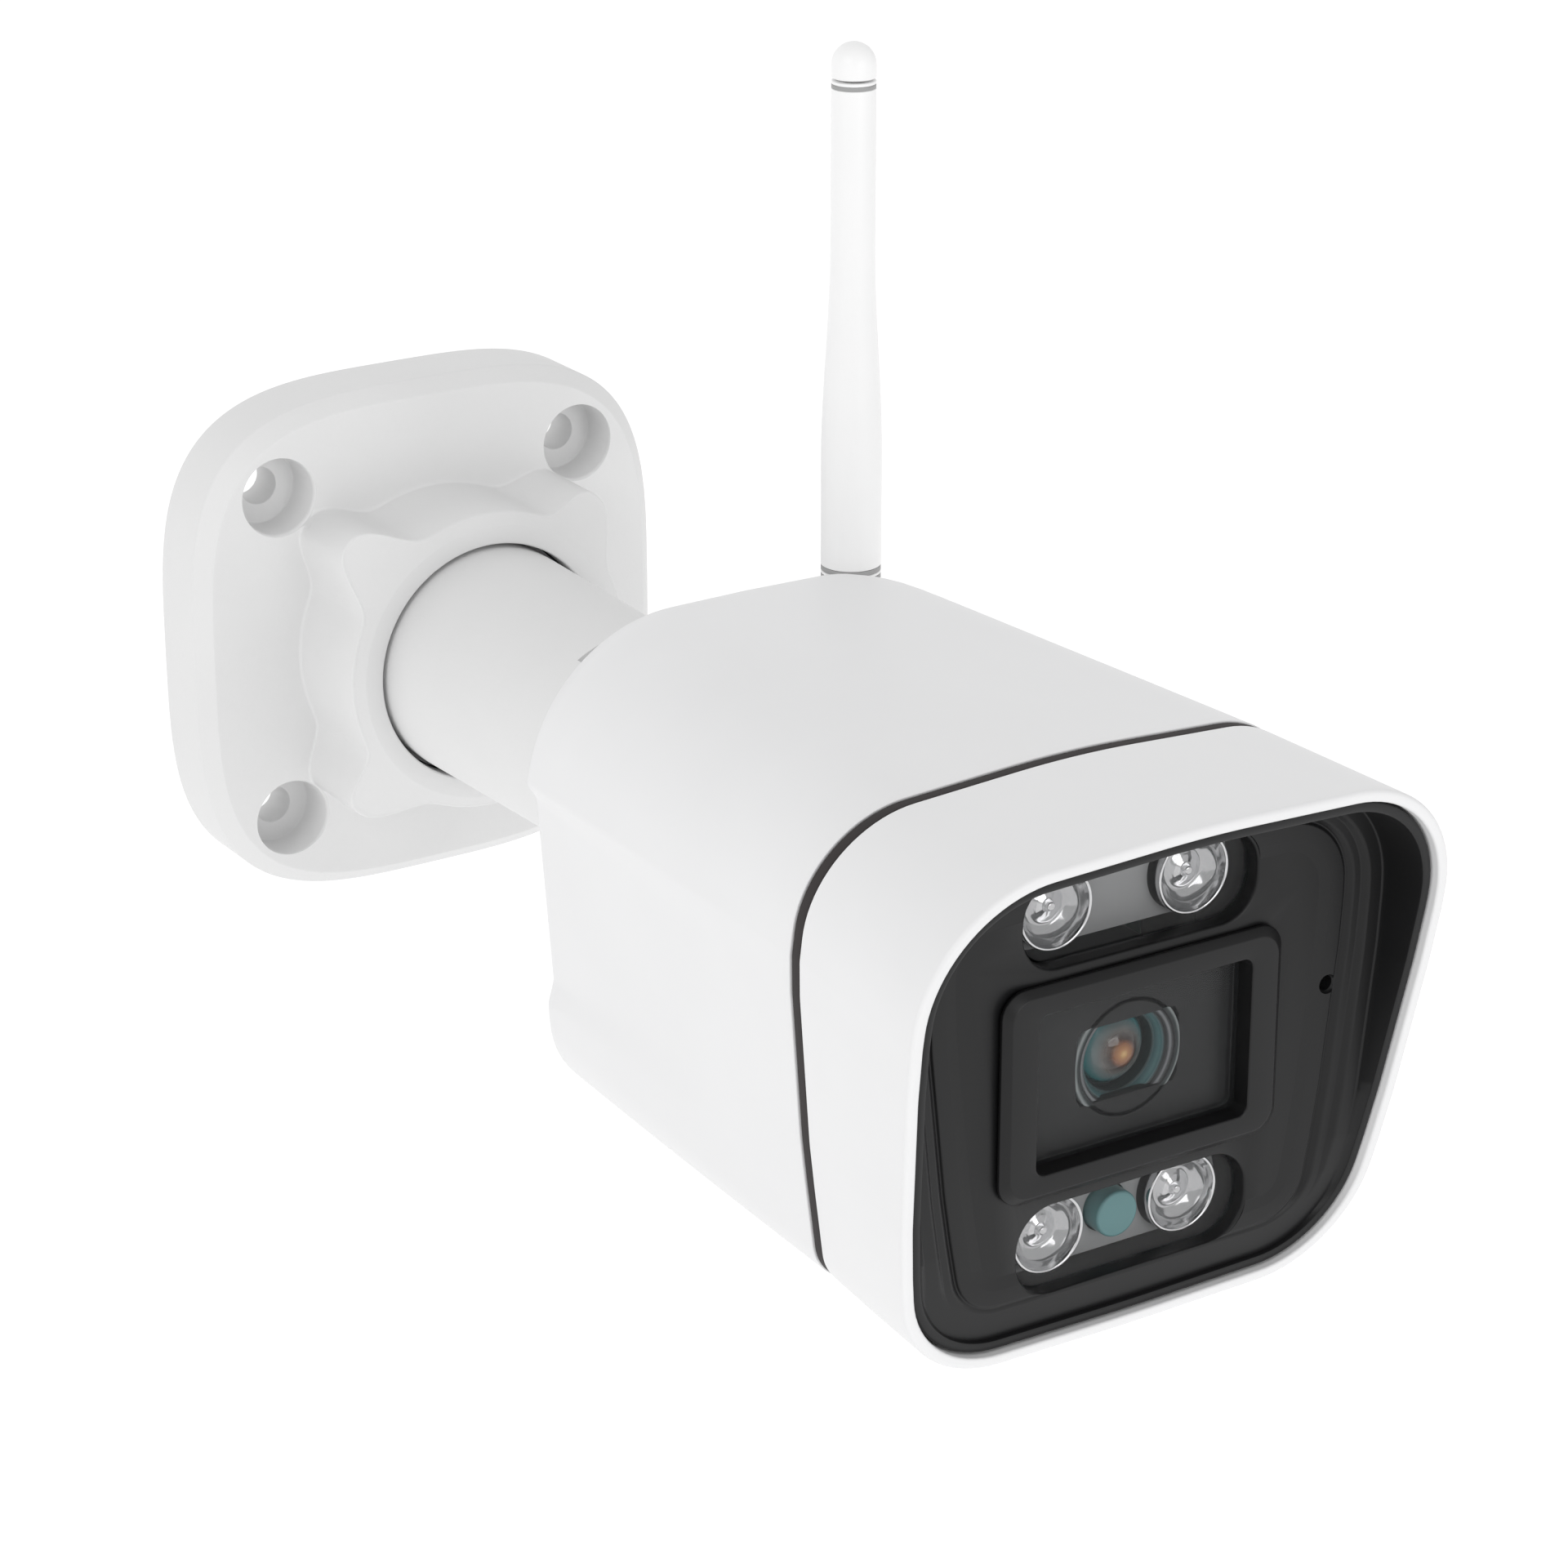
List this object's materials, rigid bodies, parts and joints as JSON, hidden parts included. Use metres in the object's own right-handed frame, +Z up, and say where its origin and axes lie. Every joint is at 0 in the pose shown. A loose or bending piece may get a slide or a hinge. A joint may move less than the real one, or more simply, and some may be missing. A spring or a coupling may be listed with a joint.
{
  "type": "bullet security camera",
  "caption": "Outdoor bullet security camera on a pan, tilt and roll wall bracket, with a hooded lens, light windows, a light sensor and a folding aerial.",
  "frame": {"origin": "centre of the wall plate's back face, on the wall", "axes": "+Y points out of the plate's back into the wall, so the lens looks along -Y; +Z up; +X to the camera's left hand as it looks out"},
  "size_m": [0.0698, 0.1786, 0.1242],
  "materials": {
    "white_metal": "white powder coat, satin",
    "white_plastic": "fine satin",
    "black_plastic": "fine satin",
    "rubber": "matte",
    "steel": "machined",
    "brass": "plated",
    "clear_glass": "polished",
    "clear_plastic": "polished acrylic",
    "circuit_board": "solder mask",
    "light_board": "dark grey solder mask",
    "emitter": "phosphor",
    "sensor_lens": "polished",
    "chip": "moulded",
    "imager": "polished"
  },
  "bodies": {
    "base": {"wall_plate": "white_metal", "arm_retaining_ring": "steel", "pan_friction_ring": "rubber", "retaining_screw_1": "steel", "retaining_screw_2": "steel", "retaining_screw_3": "steel", "retaining_screw_4": "steel", "cable_grommet": "rubber"},
    "arm": {"arm_tube": "white_metal", "elbow_screw": "steel", "elbow_nut": "steel", "elbow_washer_right": "black_plastic", "elbow_washer_left": "black_plastic"},
    "knuckle": {"swivel_knuckle": "white_metal", "swivel_seal": "rubber", "swivel_washer": "steel", "swivel_nut": "steel"},
    "camera_head": {"rear_housing": "white_metal", "seam_gasket": "rubber", "front_hood": "white_plastic", "hood_screw_1": "steel", "hood_screw_2": "steel", "hood_screw_3": "steel", "hood_screw_4": "steel", "bezel": "black_plastic", "lens_frame": "black_plastic", "lens_window": "clear_glass", "upper_light_window": "clear_plastic", "lower_light_window": "clear_plastic", "upper_left_collimator": "clear_plastic", "upper_right_collimator": "clear_plastic", "lower_left_collimator": "clear_plastic", "lower_right_collimator": "clear_plastic", "upper_left_led": "emitter", "upper_right_led": "emitter", "lower_left_led": "emitter", "lower_right_led": "emitter", "upper_light_board": "light_board", "lower_light_board": "light_board", "light_sensor": "sensor_lens", "lens_barrel": "black_plastic", "lens_front_glass": "clear_glass", "lens_holder": "black_plastic", "image_sensor": "imager", "sensor_board": "circuit_board", "microphone": "steel", "main_board": "circuit_board", "image_processor": "chip", "radio_module": "steel", "board_screw_1": "steel", "board_screw_2": "steel", "aerial_jack": "brass", "aerial_jack_nut": "brass"},
    "aerial_base": {"aerial_yoke": "white_plastic", "aerial_hinge_pin": "steel"},
    "aerial": {"aerial_sleeve": "white_plastic", "aerial_radiator": "brass", "aerial_cap": "white_plastic"}
  },
  "joints": [
    {"name": "bracket_pan", "type": "hinge", "parent": "base", "child": "arm", "pos_m": [0, 0, 0], "axis": [0, 1, 0], "range_deg": [-180, 180]},
    {"name": "elbow_tilt", "type": "hinge", "parent": "arm", "child": "knuckle", "pos_m": [0, -0.0708, 0], "axis": [1, 0, 0], "range_deg": [-20, 75]},
    {"name": "head_roll", "type": "hinge", "parent": "knuckle", "child": "camera_head", "pos_m": [0, -0.0886, 0], "axis": [0, 1, 0], "range_deg": [-45, 45]},
    {"name": "aerial_swivel", "type": "hinge", "parent": "camera_head", "child": "aerial_base", "pos_m": [0.0212, -0.087, 0.012], "axis": [0, 1, 0], "range_deg": [-45, 90]},
    {"name": "aerial_fold", "type": "hinge", "parent": "aerial_base", "child": "aerial", "pos_m": [0.0212, -0.08, 0.012], "axis": [1, 0, 0], "range_deg": [-30, 0]}
  ]
}
